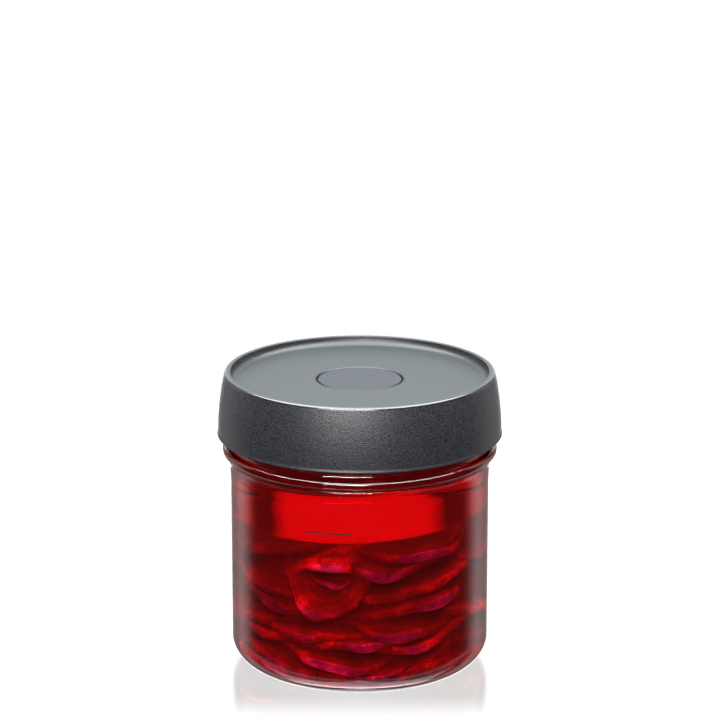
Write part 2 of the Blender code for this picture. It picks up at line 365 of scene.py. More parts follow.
# %% [markdown]
# ## Turning a profile with Geometry Nodes
#
# The jar, lid, button, weight and brine are all turned shapes: one outline swept round an
# axis. A Screw modifier could do it. Here a small Geometry Nodes tree does, because one tree
# with a named input for the number of sides then serves every piece. The outline is drawn
# with X as radius and minus Y as height, and swept along a tiny circle. A curve has no
# seam to weld apart from its poles, which Merge by Distance closes.
#
# Straight runs are cut into short pieces, so that smooth shading bends only at the corners.

# %% A lathe
TURN_SIDES = 160
RUN = 1.6 * MM  # longest straight piece of an outline


def lathe_tree():
    tree = bpy.data.node_groups.new("Lathe", "GeometryNodeTree")
    face = tree.interface
    face.new_socket("Geometry", in_out="INPUT", socket_type="NodeSocketGeometry")
    sides = face.new_socket("Sides", in_out="INPUT", socket_type="NodeSocketInt")
    sides.default_value = TURN_SIDES
    face.new_socket("Finish", in_out="INPUT", socket_type="NodeSocketMaterial")
    face.new_socket("Geometry", in_out="OUTPUT", socket_type="NodeSocketGeometry")
    given = add(tree, "NodeGroupInput")
    outline = add(tree, "GeometryNodeMeshToCurve", [(given.outputs["Geometry"], "Mesh")])
    axis = add(tree, "GeometryNodeCurvePrimitiveCircle", [(given.outputs["Sides"], "Resolution")])
    axis.inputs["Radius"].default_value = 0.001 * MM
    swept = add(tree, "GeometryNodeCurveToMesh", [
        (axis.outputs["Curve"], "Curve"), (outline.outputs["Curve"], "Profile Curve")])
    closed = add(tree, "GeometryNodeMergeByDistance", [(swept.outputs["Mesh"], "Geometry")],
                 Distance=0.01 * MM)
    smooth = add(tree, "GeometryNodeSetShadeSmooth", [(closed.outputs["Geometry"], "Geometry")])
    solid = add(tree, "GeometryNodeRealizeInstances", [(smooth.outputs["Geometry"], "Geometry")])
    dressed = add(tree, "GeometryNodeSetMaterial", [
        (solid.outputs["Geometry"], "Geometry"), (given.outputs["Finish"], "Material")])
    add(tree, "NodeGroupOutput", [(dressed.outputs["Geometry"], "Geometry")])
    return tree


LATHE = lathe_tree()
print("the lathe has", len(LATHE.nodes), "nodes")

# %% [markdown]
# An outline is a list of points, each a radius and a height, from the axis out and back to
# it. Round edges are arcs. The lathe's result is baked to a plain mesh, and its faces are
# turned outwards, because glass bends light the wrong way at a face that looks inwards.

# %% Outlines, and turning them
def arc(centre_r, centre_z, radius, start, end, steps):
    """A round stretch of an outline, from one angle to another in degrees."""
    points = []
    for i in range(steps + 1):
        a = math.radians(start + (end - start) * i / steps)
        points.append((centre_r + radius * math.cos(a), centre_z + radius * math.sin(a)))
    return points


def fine(outline):
    """The outline with its straight runs cut into short pieces."""
    points = [outline[0]]
    for (r0, z0), (r1, z1) in zip(outline[:-1], outline[1:]):
        cuts = max(1, math.ceil(math.hypot(r1 - r0, z1 - z0) / RUN))
        points += [(r0 + (r1 - r0) * i / cuts, z0 + (z1 - z0) * i / cuts)
                   for i in range(1, cuts + 1)]
    return points


def faces_out(mesh):
    """Turns a closed mesh's faces outwards."""
    bm = bmesh.new()
    bm.from_mesh(mesh)
    bmesh.ops.recalc_face_normals(bm, faces=bm.faces)
    if bm.calc_volume(signed=True) < 0:
        bmesh.ops.reverse_faces(bm, faces=bm.faces)
    bm.to_mesh(mesh)
    bm.free()
    return mesh


def turned(name, outline, finish, sides=TURN_SIDES):
    """A closed piece turned from an outline of (radius, height) points."""
    points = fine(outline)
    mesh = bpy.data.meshes.new(name)
    runs = [(i, i + 1) for i in range(len(points) - 1)]
    mesh.from_pydata([(r, -z, 0) for r, z in points], runs, [])
    ob = link_object(name, mesh)
    lathe = ob.modifiers.new("Lathe", "NODES")
    lathe.node_group = LATHE
    set_inputs(lathe, LATHE, Sides=sides, Finish=finish)
    baked(ob)
    faces_out(ob.data)
    print(f"{name}: {len(ob.data.vertices)} points")
    return ob


print("a quarter round in 12 steps has", len(arc(0, 0, 1, 0, 90, 12)), "points")

# %% [markdown]
# ## Clear glass that lets lamps through
#
# Jar glass is soda-lime glass, pressed or blown into a mould. It is clear with an IOR of
# about 1.5, and its surface is as smooth as the cooling mould left it, so highlights waver
# slightly. Light that falls on the slices has to cross the glass. Following every bent ray
# would be noisy, so shadow rays and soft light meet a plain transparent shader in its place.
# The brine does the same.

# %% A glass material
GLASS_IOR = 1.5


def lets_light_in(tree, out, clear, tint):
    """Joins a clear shader to the output, and a plain see-through one for soft light."""
    passing = add(tree, "ShaderNodeBsdfTransparent", Color=tint)
    kind = add(tree, "ShaderNodeLightPath")
    soft = add(tree, "ShaderNodeMath", [
        (kind.outputs["Is Shadow Ray"], 0), (kind.outputs["Is Diffuse Ray"], 1)],
        operation="MAXIMUM")
    mix = add(tree, "ShaderNodeMixShader", [
        (soft.outputs[0], 0), (clear.outputs[0], 1), (passing.outputs[0], 2)])
    tree.links.new(mix.outputs[0], out.inputs["Surface"])


def clear_glass(name, tint, wave_mm, wave_height_mm):
    """Smooth clear glass with a faint waver, as moulded glass has."""
    mat, tree, out = new_material(name)
    place = add(tree, "ShaderNodeTexCoord")
    waver = add(tree, "ShaderNodeTexNoise", [(place.outputs["Object"], "Vector")],
                Scale=1 / (wave_mm * MM), Detail=1.0)
    bump = add(tree, "ShaderNodeBump", [(waver.outputs[0], "Height")],
               Strength=0.5, Distance=wave_height_mm * MM)
    glass = add(tree, "ShaderNodeBsdfPrincipled", [(bump.outputs[0], "Normal")],
                Base_Color=linear(tint), Roughness=0.0, IOR=GLASS_IOR, Transmission_Weight=1.0)
    lets_light_in(tree, out, glass, linear(tint))
    return mat


mirrored = ((GLASS_IOR - 1) / (GLASS_IOR + 1)) ** 2
print("glass mirrors", round(100 * mirrored, 1), "% of what meets it head on")

# %% [markdown]
# ## The glass jar
#
# The jar is one moulded shell: an even wall, a well rounded heel, a slightly hollow foot, a
# neck that swells by half a millimetre, and a round bead under the lid. It is drawn with the
# packed jar's own sizes and far more sides, because glass bends light at every facet. The
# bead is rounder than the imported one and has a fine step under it, because small roundings
# are what catches the light along the neck.

# %% Jar shell
BODY_R = 53.0 * MM
WALL = 2.6 * MM
INNER_R = BODY_R - WALL
HEEL_R = 11.0 * MM
FLOOR_Z = 4.0 * MM
INNER_HEEL_R = 8.5 * MM
FOOT_WIDTH = 4.0 * MM
PUNT = 0.8 * MM
NECK_R = 53.4 * MM
NECK_Z = 86.6 * MM
NECK_TOP = 88.0 * MM  # the fine step
NECK_ROUND = 1.2 * MM
SHOULDER_Z = 77.0 * MM
BEAD_R = 56.0 * MM
BEAD_LOW = 88.4 * MM
BEAD_TOP = 92.4 * MM
BEAD_ROUND = 1.8 * MM
EDGE = 0.4 * MM
GLASS_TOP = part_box("glass_jar")[1].z


def jar_outline():
    """From the middle of the inner floor, up the inside, over the rim and down to the foot."""
    foot = BODY_R - HEEL_R
    lip = WALL / 2
    points = [(0.0, FLOOR_Z)]
    points += arc(INNER_R - INNER_HEEL_R, FLOOR_Z + INNER_HEEL_R, INNER_HEEL_R, -90, 0, 16)
    points += arc(INNER_R + lip, GLASS_TOP - lip, lip, 180, 0, 10)
    points += [(BODY_R, BEAD_TOP + EDGE)]
    points += arc(BEAD_R - BEAD_ROUND, BEAD_TOP - BEAD_ROUND, BEAD_ROUND, 90, 0, 12)
    points += arc(BEAD_R - BEAD_ROUND, BEAD_LOW + BEAD_ROUND, BEAD_ROUND, 0, -90, 12)
    points += [(NECK_R - NECK_ROUND / 2, BEAD_LOW)]
    points += arc(NECK_R - NECK_ROUND / 2, NECK_TOP - NECK_ROUND, NECK_ROUND, 90, 0, 10)
    points += [(NECK_R, NECK_Z - 2 * EDGE), (BODY_R, SHOULDER_Z)]
    points += arc(foot, HEEL_R, HEEL_R, 0, -90, 20)
    inner_foot = foot - FOOT_WIDTH
    points += [(inner_foot, 0.0), (inner_foot - PUNT, PUNT / 2),
               (inner_foot / 2, PUNT), (0.0, PUNT)]
    return points


jar_glass = clear_glass("Soda-lime glass, moulded", "#fcfefe", wave_mm=16.0, wave_height_mm=0.05)
jar = turned("jar_shell", jar_outline(), jar_glass)

# %% [markdown]
# ## The level line
#
# Jars carry a short printed line that shows how far to fill them. The real print is enamel
# baked onto the glass, a few hundredths of a millimetre thick. It is matte and thin, so it
# looks dark red against the brine. A texture could draw it, but clear glass has no place
# for one, so it is a thin curved strip that lies on the wall.

# %% Level line
LINE_HEIGHT = 0.7 * MM
LINE_THICK = 0.04 * MM
LINE_Z = 69.9 * MM
LINE_FROM, LINE_TO = math.radians(-23.3), math.radians(-3.2)  # left of the front is minus
LINE_STEPS = 24


def level_line():
    """A thin strip with its back just inside the glass."""
    bm = bmesh.new()
    loops = []
    for i in range(LINE_STEPS + 1):
        a = LINE_FROM + (LINE_TO - LINE_FROM) * i / LINE_STEPS
        loop = []
        for r, z in ((-1, -1), (1, -1), (1, 1), (-1, 1)):
            far = BODY_R + r * LINE_THICK
            point = (far * math.sin(a), -far * math.cos(a), LINE_Z + z * LINE_HEIGHT / 2)
            loop.append(bm.verts.new(point))
        loops.append(loop)
    for first, second in zip(loops[:-1], loops[1:]):
        for i in range(4):
            j = (i + 1) % 4
            bm.faces.new((first[i], first[j], second[j], second[i]))
    bm.faces.new(loops[0])
    bm.faces.new(loops[-1])
    mesh = bpy.data.meshes.new("level_line")
    bm.to_mesh(mesh)
    bm.free()
    faces_out(mesh)
    # Ceramic enamel has hardly any shine
    mat, tree, out = new_material("Baked enamel, matte")
    shader = add(tree, "ShaderNodeBsdfPrincipled", Base_Color=linear("#380404"), Roughness=0.7,
                 Specular_IOR_Level=0.1)
    tree.links.new(shader.outputs[0], out.inputs["Surface"])
    mesh.materials.append(mat)
    return link_object("level_line", mesh)


line = level_line()
print("level line at", round(LINE_Z / MM, 1), "mm")

# %% [markdown]
# ## The grey lid
#
# The lid is one moulded cap: a sunken top with a round pocket for the button, a raised rim
# with a fillet inside it, and a skirt that bellies out most near the top. Its underside is
# kept plain, because nothing shows it. It is turned like the jar. The rim is rounder than
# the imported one, so that it draws a bright line and not a hard edge.

# %% Lid outline
LID_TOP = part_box("lid")[1].z
LID_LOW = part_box("lid")[0].z
RIM_R = 55.0 * MM
SKIRT_R = 57.7 * MM
LIP_R = 58.0 * MM
RIM_WIDTH = 2.3 * MM
PANEL_Z = LID_TOP - 3.7 * MM
FILLET_R = 3.0 * MM
PLATE = 3.2 * MM
SKIRT_INNER_R = 55.4 * MM
POCKET_R = 17.8 * MM
POCKET_DEPTH = 1.6 * MM
RIM_EDGE = 1.1 * MM
SKIRT_STEPS = 24


def skirt_point(share):
    """A point down the skirt, which bellies out most near the top."""
    top = LID_TOP - RIM_EDGE
    low = LID_LOW + 2 * EDGE
    radius = RIM_R + (SKIRT_R - RIM_R) * (1 - (1 - share) ** 2)
    return radius, top + (low - top) * share


def lid_outline():
    floor_z = PANEL_Z - POCKET_DEPTH
    rim_inner = RIM_R - EDGE / 2 - RIM_WIDTH
    points = [(0.0, floor_z), (POCKET_R, floor_z), (POCKET_R, PANEL_Z)]
    points += arc(rim_inner - FILLET_R, PANEL_Z + FILLET_R, FILLET_R, -90, 0, 10)
    points += arc(rim_inner + EDGE / 2, LID_TOP - EDGE / 2, EDGE / 2, 180, 90, 4)
    points += arc(RIM_R - RIM_EDGE, LID_TOP - RIM_EDGE, RIM_EDGE, 90, 12, 10)
    points += [skirt_point(i / SKIRT_STEPS) for i in range(1, SKIRT_STEPS + 1)]
    points += [(LIP_R, LID_LOW + EDGE), (LIP_R - EDGE, LID_LOW), (SKIRT_INNER_R, LID_LOW)]
    points += [(SKIRT_INNER_R, PANEL_Z - PLATE), (0.0, PANEL_Z - PLATE)]
    return points


print("lid is", round(2 * LIP_R / MM, 1), "mm across")

# %% [markdown]
# The lid is injection-moulded polypropylene. Its top is a fine matte, and the mould's skirt
# was spark-eroded, which leaves a coarser grain that sparkles under the lamp. That sparkle is
# partly painted: the grain's hollows are painted darker and its tips lighter. Two materials
# would need a seam between them. One does both here, and the grain follows which way the
# face looks. So does the colour: the top is painted lighter than the skirt, as painted light
# from above, though both are one plastic. The edge of the rim is worn smooth, so it has no
# grain and a higher gloss.
#
# Real spark grain is about 0.3 mm. It is drawn at 0.42 mm, so that it shows in the frame.

# %% Grained plastic
PLASTIC_IOR = 1.45
LOOKS_UP, LOOKS_ASIDE = 0.85, 0.45  # the upward share of a face's normal
TOP_GRAIN_DEPTH, SKIRT_GRAIN_DEPTH = 0.01 * MM, 0.13 * MM
# The grain's hollows are painted darker, as painted shade, and its tips lighter, as painted
# sparkle, against the plain colour
GRAIN_PAINTED_SHADE, GRAIN_PAINTED_SPARKLE = 0.3, 2.0  # hollows and tips of the grain, against the plain colour
EDGE_ROUGH = 0.22
EDGE_SHINE = 1.0  # against 0.5 for the plain plastic
EDGE_MARGIN = 0.05 * MM


def grained_plastic(name, top, skirt, top_grain_mm, skirt_grain_mm, top_rough, skirt_rough):
    """Matte moulded plastic, with a fine grain on top and a coarse one on the skirt."""
    mat, tree, out = new_material(name)
    place = add(tree, "ShaderNodeTexCoord")
    shape = add(tree, "ShaderNodeNewGeometry")
    way = add(tree, "ShaderNodeSeparateXYZ", [(shape.outputs["Normal"], "Vector")])
    side = add(tree, "ShaderNodeMapRange", [(way.outputs["Z"], "Value")],
               From_Min=LOOKS_ASIDE, From_Max=LOOKS_UP, To_Min=1.0, To_Max=0.0)
    fine_grain = add(tree, "ShaderNodeTexNoise", [(place.outputs["Object"], "Vector")],
                     Scale=1 / (top_grain_mm * MM), Detail=2.0)
    coarse_grain = add(tree, "ShaderNodeTexNoise", [(place.outputs["Object"], "Vector")],
                       Scale=1 / (skirt_grain_mm * MM), Detail=1.0, Roughness=0.5)
    grain = add(tree, "ShaderNodeMix", [
        (side.outputs[0], 0), (fine_grain.outputs[0], 2), (coarse_grain.outputs[0], 3)])
    # The colour follows the face too: the top is painted lighter than the skirt, as painted light
    # from above; both are one plastic
    tone_and_painted_light = add(tree, "ShaderNodeMix", [(side.outputs[0], 0)], data_type="RGBA")
    tone_and_painted_light.inputs[6].default_value = linear(top)
    tone_and_painted_light.inputs[7].default_value = linear(skirt)
    # Painted shade in the grain's hollows and painted sparkle on its tips, on the skirt only
    painted_grain_light = add(tree, "ShaderNodeMapRange", [(coarse_grain.outputs[0], "Value")],
                From_Min=0.4, From_Max=0.6, To_Min=GRAIN_PAINTED_SHADE, To_Max=GRAIN_PAINTED_SPARKLE)
    painted_grain_light_on_skirt = add(tree, "ShaderNodeMix", [(side.outputs[0], 0), (painted_grain_light.outputs[0], 3)])
    painted_grain_light_on_skirt.inputs[2].default_value = 1.0
    colour_with_painted_grain_light = add(tree, "ShaderNodeVectorMath", [
        (tone_and_painted_light.outputs[2], 0), (painted_grain_light_on_skirt.outputs[0], "Scale")], operation="SCALE")
    rough = add(tree, "ShaderNodeMapRange", [(side.outputs[0], "Value")],
                To_Min=top_rough, To_Max=skirt_rough)
    across = add(tree, "ShaderNodeVectorMath", [(place.outputs["Object"], 0)],
                 operation="MULTIPLY")
    across.inputs[1].default_value = (1.0, 1.0, 0.0)
    radius = add(tree, "ShaderNodeVectorMath", [(across.outputs[0], 0)], operation="LENGTH")
    edge = add(tree, "ShaderNodeMath", [(radius.outputs["Value"], 0)], operation="COMPARE")
    edge.inputs[1].default_value = RIM_R - RIM_EDGE / 2
    edge.inputs[2].default_value = RIM_EDGE / 2 + EDGE_MARGIN
    depth = add(tree, "ShaderNodeMapRange", [(side.outputs[0], "Value")],
                To_Min=TOP_GRAIN_DEPTH, To_Max=SKIRT_GRAIN_DEPTH)
    kept = add(tree, "ShaderNodeMapRange", [(edge.outputs[0], "Value")], To_Min=1.0, To_Max=0.0)
    bump = add(tree, "ShaderNodeBump", [
        (grain.outputs[0], "Height"), (depth.outputs[0], "Distance"),
        (kept.outputs[0], "Strength")])
    gloss = add(tree, "ShaderNodeMix", [(edge.outputs[0], 0), (rough.outputs[0], 2)])
    gloss.inputs[3].default_value = EDGE_ROUGH
    shine = add(tree, "ShaderNodeMapRange", [(edge.outputs[0], "Value")],
                To_Min=0.5, To_Max=EDGE_SHINE)
    shader = add(tree, "ShaderNodeBsdfPrincipled", [
        (colour_with_painted_grain_light.outputs[0], "Base Color"), (bump.outputs[0], "Normal"),
        (gloss.outputs[0], "Roughness"), (shine.outputs[0], "Specular IOR Level")],
        IOR=PLASTIC_IOR)
    tree.links.new(shader.outputs[0], out.inputs["Surface"])
    return mat


# Top colour painted lighter than the skirt's, as painted light falling from above
lid_plastic = grained_plastic(
    "Polypropylene, spark-eroded grain", top="#1f2527", skirt="#151518",
    top_grain_mm=0.35, skirt_grain_mm=0.42, top_rough=0.42, skirt_rough=0.35)
lid = turned("lid_shell", lid_outline(), lid_plastic)

# %% [markdown]
# ## The valve button
#
# The button is a soft silicone plug that lets gas out. It sits flush in a round pocket, so
# what shows is a disc and the dark groove round it. It could be drawn on the lid as a ring,
# but a real gap makes a real shadow. Silicone is matte and takes the same fine grain.

# %% Valve button
BUTTON_R = 16.95 * MM
BUTTON_ROUND = 0.35 * MM
BUTTON_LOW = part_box("valve_button")[0].z


def button_outline():
    points = [(0.0, PANEL_Z)]
    points += arc(BUTTON_R - BUTTON_ROUND, PANEL_Z - BUTTON_ROUND, BUTTON_ROUND, 90, 0, 5)
    points += [(BUTTON_R, BUTTON_LOW), (0.0, BUTTON_LOW)]
    return points


button_silicone = grained_plastic(
    "Silicone rubber, fine matte", top="#161d23", skirt="#161d23",
    top_grain_mm=0.5, skirt_grain_mm=0.5, top_rough=0.42, skirt_rough=0.42)
button = turned("button_disc", button_outline(), button_silicone)

# %% [markdown]
# ## The glass weight
#
# The weight is a thick pressed disc. It lies on the slices, a little higher on the right.
# Seen from a little above, its lower face mirrors the light from behind, as total internal
# reflection does where glass meets brine at a low angle. That is why the band above the
# slices is so bright and shows no slices through it. Painting the band would be simpler,
# but real glass gives it from every side.

# %% Glass weight
WEIGHT_R = 47.6 * MM
WEIGHT_THICK = 20.5 * MM
WEIGHT_LOW = 65.0 * MM
WEIGHT_ROUND = 3.5 * MM
WEIGHT_ROLL = math.radians(2.6)
WEIGHT_PITCH = math.radians(1.0)
OVERLAP = 0.15 * MM  # how far the brine reaches into the glass that it touches

weight_place = Matrix.Translation((0.0, 0.0, WEIGHT_LOW)) @ (
    Matrix.Rotation(-WEIGHT_ROLL, 4, "Y") @ Matrix.Rotation(WEIGHT_PITCH, 4, "X"))


def weight_outline(inset=0.0):
    """The weight's own outline, or one inside it by the inset."""
    inner = WEIGHT_R - WEIGHT_ROUND
    radius = WEIGHT_ROUND - inset
    points = [(0.0, WEIGHT_THICK - inset)]
    points += arc(inner, WEIGHT_THICK - WEIGHT_ROUND, radius, 90, 0, 8)
    points += arc(inner, WEIGHT_ROUND, radius, 0, -90, 8)
    points += [(0.0, inset)]
    return points


weight_glass = clear_glass("Soda-lime glass, pressed", "#fdfefe", wave_mm=14.0, wave_height_mm=0.1)
weight = turned("weight_disc", weight_outline(), weight_glass)
weight.data.transform(weight_place)

# %% [markdown]
# ## The beetroot slices
#
# Fermented beetroot keeps its shape but goes limp, so slices lie in a loose pile, bend over
# each other and press flat against the glass. Each slice has its own angle, height, size,
# tip, lift and dish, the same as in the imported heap, and here it gets a rounded uneven rim,
# a wavy face and the faint rings of the root. They are built point by point, because each is
# bent by the same rule that keeps it inside the glass and under the weight.

# %% Where each slice lies
HEAP_CLEAR = 0.5 * MM
DRAW = 11
CORE_R = 32.0 * MM
CORE_TOP = 57.0 * MM

# Degrees to the right of the front, height, radius and thickness in mm, how far the outer
# edge tips down and the right side lifts in degrees, and how deep the slice is dished and
# how far its two sides are folded down in mm
FRONT_SLICES = (
    (32, 60.0, 27.0, 4.6, 5, 5, 0.0, 0.0),
    (20, 59.5, 26.5, 5.2, 18, 4, 2.0, 0.0),
    (38, 47.5, 27.0, 4.8, 8, 9, 0.0, 0.0),
    (30, 40.5, 26.0, 4.8, 12, 11, 0.0, 2.0),
    (24, 32.5, 25.5, 5.2, 15, 4, -1.5, 0.0),
    (36, 23.5, 26.0, 4.6, 6, 8, 0.0, -2.0),
    (-20, 63.0, 20.5, 4.2, 30, 9, 0.0, 13.0),
    (-14, 47.3, 9.5, 2.2, 6, 0, 0.0, -3.5),
    (-17, 46.5, 15.8, 4.4, 54, 2, -2.0, 0.0),
    (-24, 31.0, 24.0, 4.6, 20, -6, 2.0, 3.0),
    (-4, 25.5, 21.0, 4.4, 16, 3, 1.0, 2.0),
    (-12, 17.5, 25.0, 4.8, 14, -4, 1.5, 0.0),
    (15, 14.5, 25.0, 4.6, 12, 7, 0.0, 2.0),
    (13, 8.5, 26.0, 4.6, 2, 2, 0.0, 0.0),
    (-46, 17.0, 26.0, 4.6, 16, -9, 0.0, 3.0),
    (-54, 8.0, 25.5, 4.4, 0, -3, 0.0, 0.0),
    (-56, 60.0, 26.0, 4.6, 9, 6, 0.0, 0.0),
    (-60, 50.0, 26.5, 4.8, 20, -12, 0.0, 3.0),
    (-50, 41.0, 26.0, 4.6, 12, -8, 0.0, 0.0),
    (-62, 32.5, 26.0, 4.8, 14, 6, 0.0, 2.0),
    (-48, 25.0, 25.5, 4.6, 8, -6, 0.0, 0.0),
)
BACK_ANGLES = (86, 138, 190, 242)
BACK_LOW = 10.5
BACK_STEP = 11.0
BACK_LAYERS = 5


def all_slices():
    """Every slice as (angle, height, radius, thickness, tip, lift, dish, fold)."""
    rows = list(FRONT_SLICES)
    draw = random.Random(DRAW)
    for layer in range(BACK_LAYERS):
        for angle in BACK_ANGLES:
            rows.append((
                angle + draw.uniform(-12, 12) + 24 * (layer % 2),
                BACK_LOW + BACK_STEP * layer + draw.uniform(-1.5, 1.5),
                draw.uniform(24.0, 28.0),
                draw.uniform(4.2, 5.4),
                draw.uniform(2, 24),
                draw.uniform(-10, 10),
                draw.uniform(-2.0, 2.0),
                draw.uniform(-3.0, 3.0),
            ))
    return rows


rows = all_slices()
print(len(rows), "slices")

# %% [markdown]
# A slice that meets the glass or the weight is pressed flat against it. A collision run
# could settle the pile, but it would come out otherwise each time. So each point is moved
# into the room that is left, and keeps its place in the slice's thickness.

# %% Room for the slices
def press_in(points, under, over):
    """Moves points into the room that the glass and the weight leave the slices.

    Under and over are how much of the slice's thickness lies below and above each point, so
    a slice that is pressed flat keeps its thickness.
    """
    x, y, z = points.T.copy()
    rise = x * math.tan(WEIGHT_ROLL) + y * math.tan(WEIGHT_PITCH)
    z = np.clip(z, FLOOR_Z + HEAP_CLEAR + under, WEIGHT_LOW + rise - HEAP_CLEAR - over)
    low = np.clip(FLOOR_Z + INNER_HEEL_R - z, 0.0, INNER_HEEL_R - HEAP_CLEAR)
    limit = INNER_R - INNER_HEEL_R + np.sqrt(INNER_HEEL_R**2 - low**2) - HEAP_CLEAR
    pull = np.minimum(1.0, limit / np.maximum(np.hypot(x, y), 1e-9))
    return np.stack([x * pull, y * pull, z], axis=1)


def slice_place(angle, height, radius, tip, lift):
    """Turns a slice about the jar's axis, out to the glass, and tips and lifts it."""
    out = INNER_R - HEAP_CLEAR - radius * math.cos(math.radians(tip))
    turn = Matrix.Rotation(math.radians(angle), 4, "Z")
    tipped = Matrix.Rotation(math.radians(tip), 4, "X")
    lifted = Matrix.Rotation(-math.radians(lift), 4, "Y")
    return turn @ Matrix.Translation((0.0, -out, height)) @ (tipped @ lifted)


print("room for the pile:", round((WEIGHT_LOW - FLOOR_Z - 2 * HEAP_CLEAR) / MM, 1), "mm high")

# %% [markdown]
# One slice is a stack of rings: across the top face, round the rim and back across the
# underside. Each point is moved outwards by the rim's waves, up or down by the dish and by
# ripples, and then through the slice's own place into the jar. Noise could bend the slices
# too, but waves of three, five and eleven round the rim keep each one a cut root.

# %% One slice, ring by ring
AROUND = 72
FACE_RINGS = 12
RIM_RINGS = 5
SLICE_ROUND = 0.9 * MM
RIM_WAVES = ((3, 0.07), (5, 0.03), (11, 0.012))  # how many round the rim, share of the radius
THINNER_RIM = 0.22  # share of the thickness that the rim loses
LIMP = 1.3 * MM  # how far a limp slice bends up and down, twice round
FRILL = 0.35 * MM  # fine ripples at the rim, seven round
GROOVE = 0.12 * MM  # the root's rings, as felt on the face


def slice_rings(radius, half):
    """(distance from the middle, height) of each ring, over the top, the rim and below."""
    flat = radius - SLICE_ROUND
    top = [(flat * (i + 1) / FACE_RINGS, half) for i in range(FACE_RINGS)]
    rim = []
    for i in range(1, RIM_RINGS):
        a = math.pi / 2 - math.pi * i / RIM_RINGS
        rim.append((flat + SLICE_ROUND * math.cos(a), half * math.sin(a)))
    below = [(r, -z) for r, z in reversed(top)]
    return top + rim + below


def one_slice(number, row):
    """Points, faces and the share of the radius at each point."""
    angle, height, radius, thick, tip, lift, dish, fold = row
    radius, half = radius * MM, thick * MM / 2
    rings = slice_rings(radius, half)
    around = np.linspace(0, 2 * math.pi, AROUND, endpoint=False)
    far = np.array([r for r, _ in rings])[:, None] * np.ones(AROUND)
    up = np.array([z for _, z in rings])[:, None] * np.ones(AROUND)
    a = np.broadcast_to(around, far.shape)
    far = np.concatenate([[0.0], far.ravel(), [0.0]])
    up = np.concatenate([[half], up.ravel(), [-half]])
    a = np.concatenate([[0.0], a.ravel(), [0.0]])
    share = far / radius
    wave = number * 1.7  # where this slice's waves start
    (wide, big), (mid, middling), (close, small) = RIM_WAVES
    grow = 1 + share * (big * np.sin(wide * a + wave) + middling * np.sin(mid * a - wave)
                        + small * np.sin(close * a + 2 * wave) * share**4)
    z = up * (1 - THINNER_RIM * share**6)
    z = z + dish * MM * (share**2 - 0.4) - fold * MM * (share * np.cos(a)) ** 2
    z = z + LIMP * share * np.sin(2 * a + wave)
    z = z + FRILL * share**3 * np.sin(7 * a - wave) + GROOVE * np.sin(share * 19 + wave)
    points = np.stack([far * grow * np.cos(a), far * grow * np.sin(a), z], axis=1)
    place = np.array(slice_place(angle, height * MM, radius, tip, lift))
    points = press_in(points @ place[:3, :3].T + place[:3, 3], half + up, half - up)
    faces = [(0, 1 + i, 1 + (i + 1) % AROUND) for i in range(AROUND)]
    for ring in range(len(rings) - 1):
        base = 1 + ring * AROUND
        for i in range(AROUND):
            j = (i + 1) % AROUND
            faces.append((base + i, base + AROUND + i, base + AROUND + j, base + j))
    last = 1 + (len(rings) - 1) * AROUND
    end = len(points) - 1
    faces += [(end, last + (i + 1) % AROUND, last + i) for i in range(AROUND)]
    return points, faces, share


print("each slice has", AROUND * (2 * FACE_RINGS + RIM_RINGS - 1) + 2, "points")

# %% [markdown]
# Fermented beetroot is dark wine red. Its rim is painted lighter and pinker: partly the
# frayed skin, and partly painted highlight where the rim catches the light. It has blotches,
# the faint rings of the root and fine fibres, and light goes some millimetres into it. In
# brine it has hardly any shine, because brine and wet beetroot bend light almost alike. So
# its IOR here is what is left between the two, and its look comes from the colour: one
# number says how pale each point is, and a ramp turns that into a red.

# %% Beetroot material
BLOTCH_MM, FIBRE_MM, FRAY_MM = 9.0, 1.1, 3.2
BLOTCH_PALE = (0.22, 0.66)  # paleness, from the darkest blotch to the lightest
# Added at the rim: partly the frayed skin, partly painted highlight where the rim catches light
FRAY_PALE_AND_HIGHLIGHT = (0.04, 0.2)  # added at the rim
FIBRE_PALE = 0.1  # either way
ROOT_RINGS = 26.0  # radians from the middle to the rim, so about four rings
RING_PALE = 0.05
RIM_STARTS = 0.7  # share of the radius
BEET_IN_BRINE_IOR = 1.06


